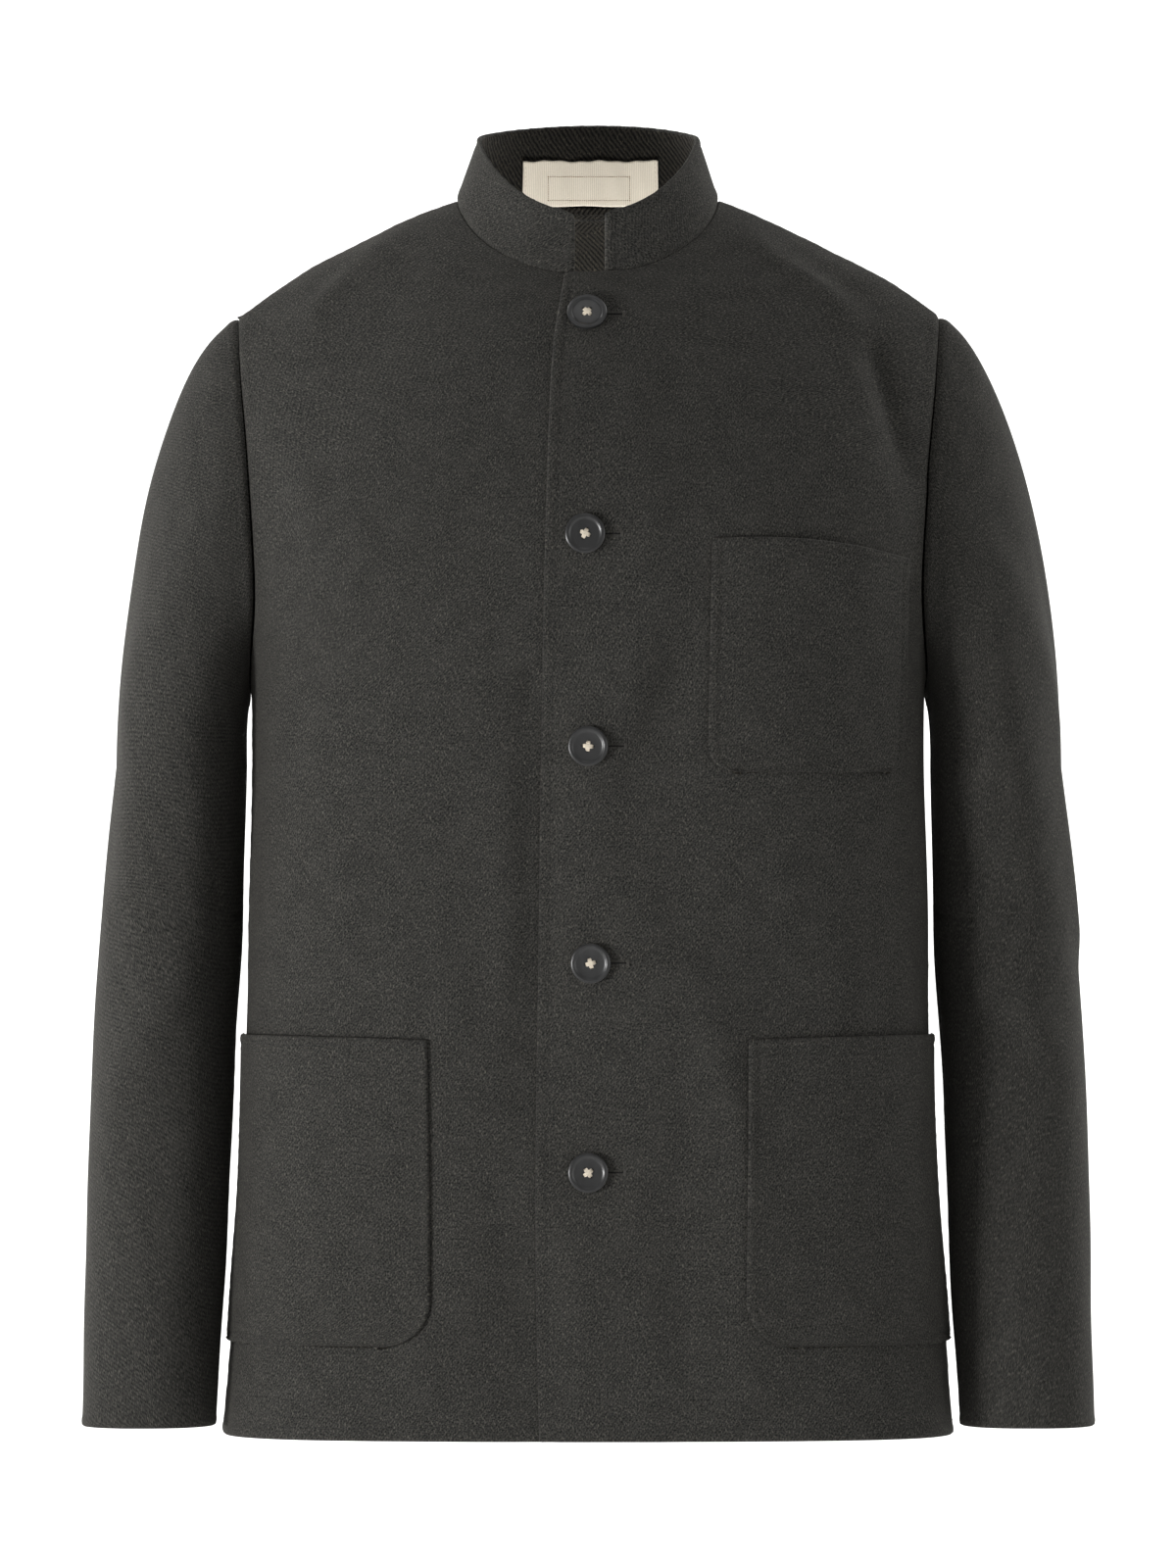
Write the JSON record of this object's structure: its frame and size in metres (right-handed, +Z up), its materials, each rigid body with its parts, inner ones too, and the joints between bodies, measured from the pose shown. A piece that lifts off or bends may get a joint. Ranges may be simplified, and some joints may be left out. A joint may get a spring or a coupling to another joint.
{
  "type": "suit jacket",
  "caption": "Stand-collar wool jacket with a buttoned front and patch pockets, filled out as worn, with no wearer.",
  "frame": {"origin": "middle of the neck opening, level with the points where the shoulder seams meet the collar", "axes": "+Z up the body, +X to the wearer's left, -Y out of the front"},
  "size_m": [0.592, 0.2601, 0.7671],
  "materials": {
    "wool": "milled flannel",
    "button": "satin",
    "label": "woven cotton"
  },
  "bodies": {
    "root": {"front_left": "wool", "front_right": "wool", "back": "wool", "collar": "wool", "sleeve_left": "wool", "sleeve_right": "wool", "pocket_chest": "wool", "pocket_left": "wool", "pocket_right": "wool", "button_1": "button", "button_2": "button", "button_3": "button", "button_4": "button", "button_5": "button", "label": "label"}
  },
  "joints": []
}
